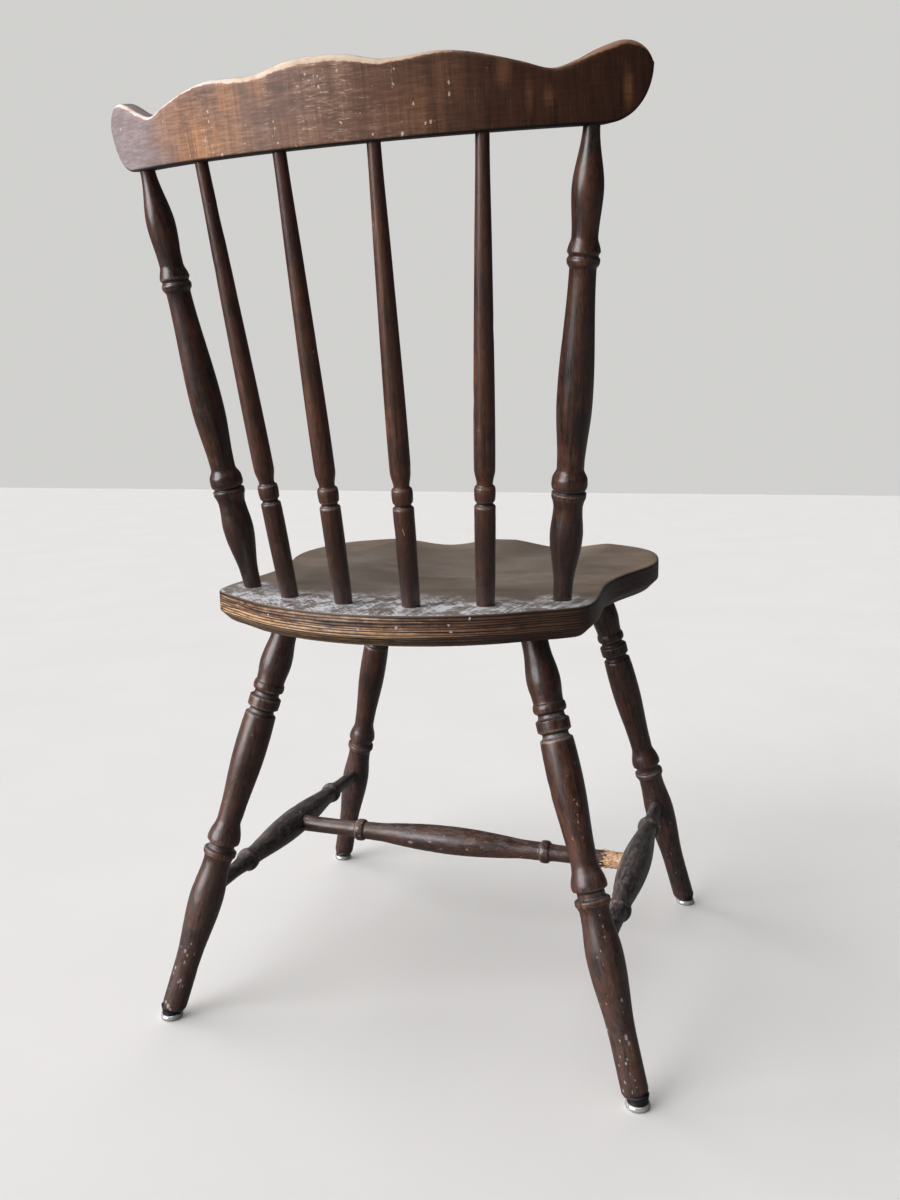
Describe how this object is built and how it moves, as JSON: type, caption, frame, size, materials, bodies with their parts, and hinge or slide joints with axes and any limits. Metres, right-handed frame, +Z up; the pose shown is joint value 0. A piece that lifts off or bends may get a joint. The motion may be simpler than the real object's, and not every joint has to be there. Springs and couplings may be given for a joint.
{
  "type": "spindle-back chair",
  "caption": "Wooden spindle-back dining chair with a dished plywood seat, bowed scalloped crest rail, turned legs and worn dark varnish.",
  "frame": {"origin": "middle of the footprint box, on the floor", "axes": "+Z up, -Y towards the chair's front, +X towards the sitter's left"},
  "size_m": [0.509, 0.5488, 0.8912],
  "materials": {
    "seat": "dusty dark brown varnish over plywood, edge plies showing",
    "crest": "walnut brown varnish, scratched, rubbed through along the top edge",
    "post": "dark reddish brown satin varnish",
    "spindle": "dark reddish brown satin varnish",
    "leg": "dark reddish brown satin varnish, chipped near the floor",
    "side_stretcher": "dark varnish, scuffed and dusty",
    "cross_stretcher": "purple brown varnish with chips, bare splintered tenon",
    "glide_metal": "bright nickel",
    "glide_cushion": "matte black",
    "nail": "plain steel"
  },
  "bodies": {
    "root": {"seat": "seat", "crest_rail": "crest", "left_post": "post", "right_post": "post", "spindle_1": "spindle", "spindle_2": "spindle", "spindle_3": "spindle", "spindle_4": "spindle", "front_left_leg": "leg", "front_right_leg": "leg", "rear_left_leg": "leg", "rear_right_leg": "leg", "left_side_stretcher": "side_stretcher", "right_side_stretcher": "side_stretcher", "cross_stretcher": "cross_stretcher", "glide_base_front_left": "glide_metal", "glide_base_front_right": "glide_metal", "glide_base_rear_left": "glide_metal", "glide_base_rear_right": "glide_metal", "glide_cushion_front_left": "glide_cushion", "glide_cushion_front_right": "glide_cushion", "glide_cushion_rear_left": "glide_cushion", "glide_cushion_rear_right": "glide_cushion", "glide_nail_front_left": "nail", "glide_nail_front_right": "nail", "glide_nail_rear_left": "nail", "glide_nail_rear_right": "nail"}
  },
  "joints": []
}
